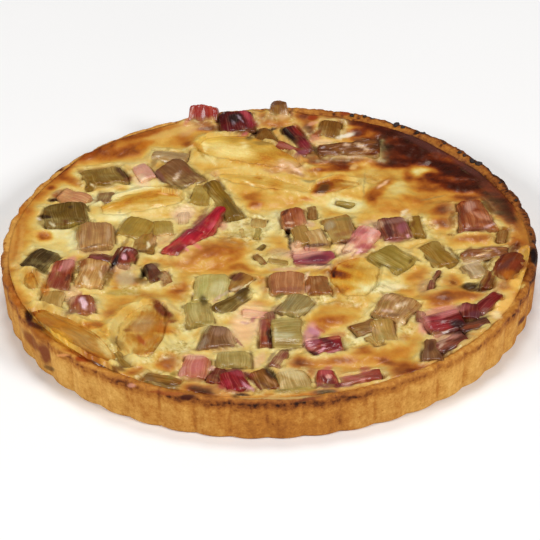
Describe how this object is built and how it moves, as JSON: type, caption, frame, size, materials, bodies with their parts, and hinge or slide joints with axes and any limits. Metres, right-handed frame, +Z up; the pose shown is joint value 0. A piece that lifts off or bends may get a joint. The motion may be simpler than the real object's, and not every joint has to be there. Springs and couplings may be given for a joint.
{
  "type": "apple rhubarb tart",
  "caption": "Whole round tart: fluted pastry shell filled level with baked custard, with apple slices and cut rhubarb stalks lying in it.",
  "frame": {"origin": "middle of the flat underside, on the table", "axes": "+Z up; -Y is the side of the tart nearest the viewer of the picture, +X is its right"},
  "size_m": [0.2798, 0.2798, 0.032],
  "materials": {
    "pastry": "matte",
    "custard": "satin",
    "apple": "satin",
    "rhubarb_olive": "satin",
    "rhubarb_dark_olive": "satin",
    "rhubarb_pale_green": "satin",
    "rhubarb_yellow_green": "satin",
    "rhubarb_grey": "satin",
    "rhubarb_beige": "satin",
    "rhubarb_brown": "satin",
    "rhubarb_brown_pink": "satin",
    "rhubarb_red_brown": "satin",
    "rhubarb_crimson": "satin",
    "rhubarb_pink": "satin",
    "rhubarb_pale_pink": "satin",
    "rhubarb_mauve": "satin"
  },
  "bodies": {
    "root": {"crust": "pastry", "custard": "custard", "apple_01": "apple", "apple_02": "apple", "apple_03": "apple", "apple_04": "apple", "apple_05": "apple", "apple_06": "apple", "apple_07": "apple", "apple_08": "apple", "apple_09": "apple", "rhubarb_01": "rhubarb_olive", "rhubarb_02": "rhubarb_pale_pink", "rhubarb_03": "rhubarb_grey", "rhubarb_04": "rhubarb_pink", "rhubarb_05": "rhubarb_dark_olive", "rhubarb_06": "rhubarb_dark_olive", "rhubarb_07": "rhubarb_red_brown", "rhubarb_08": "rhubarb_crimson", "rhubarb_09": "rhubarb_olive", "rhubarb_10": "rhubarb_beige", "rhubarb_11": "rhubarb_crimson", "rhubarb_12": "rhubarb_olive", "rhubarb_13": "rhubarb_brown", "rhubarb_14": "rhubarb_beige", "rhubarb_15": "rhubarb_olive", "rhubarb_16": "rhubarb_mauve", "rhubarb_17": "rhubarb_dark_olive", "rhubarb_18": "rhubarb_crimson", "rhubarb_19": "rhubarb_beige", "rhubarb_20": "rhubarb_crimson", "rhubarb_21": "rhubarb_brown", "rhubarb_22": "rhubarb_pink", "rhubarb_23": "rhubarb_olive", "rhubarb_24": "rhubarb_crimson", "rhubarb_25": "rhubarb_red_brown", "rhubarb_26": "rhubarb_grey", "rhubarb_27": "rhubarb_pink", "rhubarb_28": "rhubarb_brown_pink", "rhubarb_29": "rhubarb_pale_green", "rhubarb_30": "rhubarb_mauve", "rhubarb_31": "rhubarb_olive", "rhubarb_32": "rhubarb_yellow_green", "rhubarb_33": "rhubarb_brown", "rhubarb_34": "rhubarb_brown", "rhubarb_35": "rhubarb_beige", "rhubarb_36": "rhubarb_pale_green", "rhubarb_37": "rhubarb_grey", "rhubarb_38": "rhubarb_pale_green", "rhubarb_39": "rhubarb_pink", "rhubarb_40": "rhubarb_crimson", "rhubarb_41": "rhubarb_brown", "rhubarb_42": "rhubarb_red_brown", "rhubarb_43": "rhubarb_olive", "rhubarb_44": "rhubarb_crimson", "rhubarb_45": "rhubarb_crimson", "rhubarb_46": "rhubarb_olive", "rhubarb_47": "rhubarb_mauve", "rhubarb_48": "rhubarb_beige", "rhubarb_49": "rhubarb_crimson"}
  },
  "joints": []
}
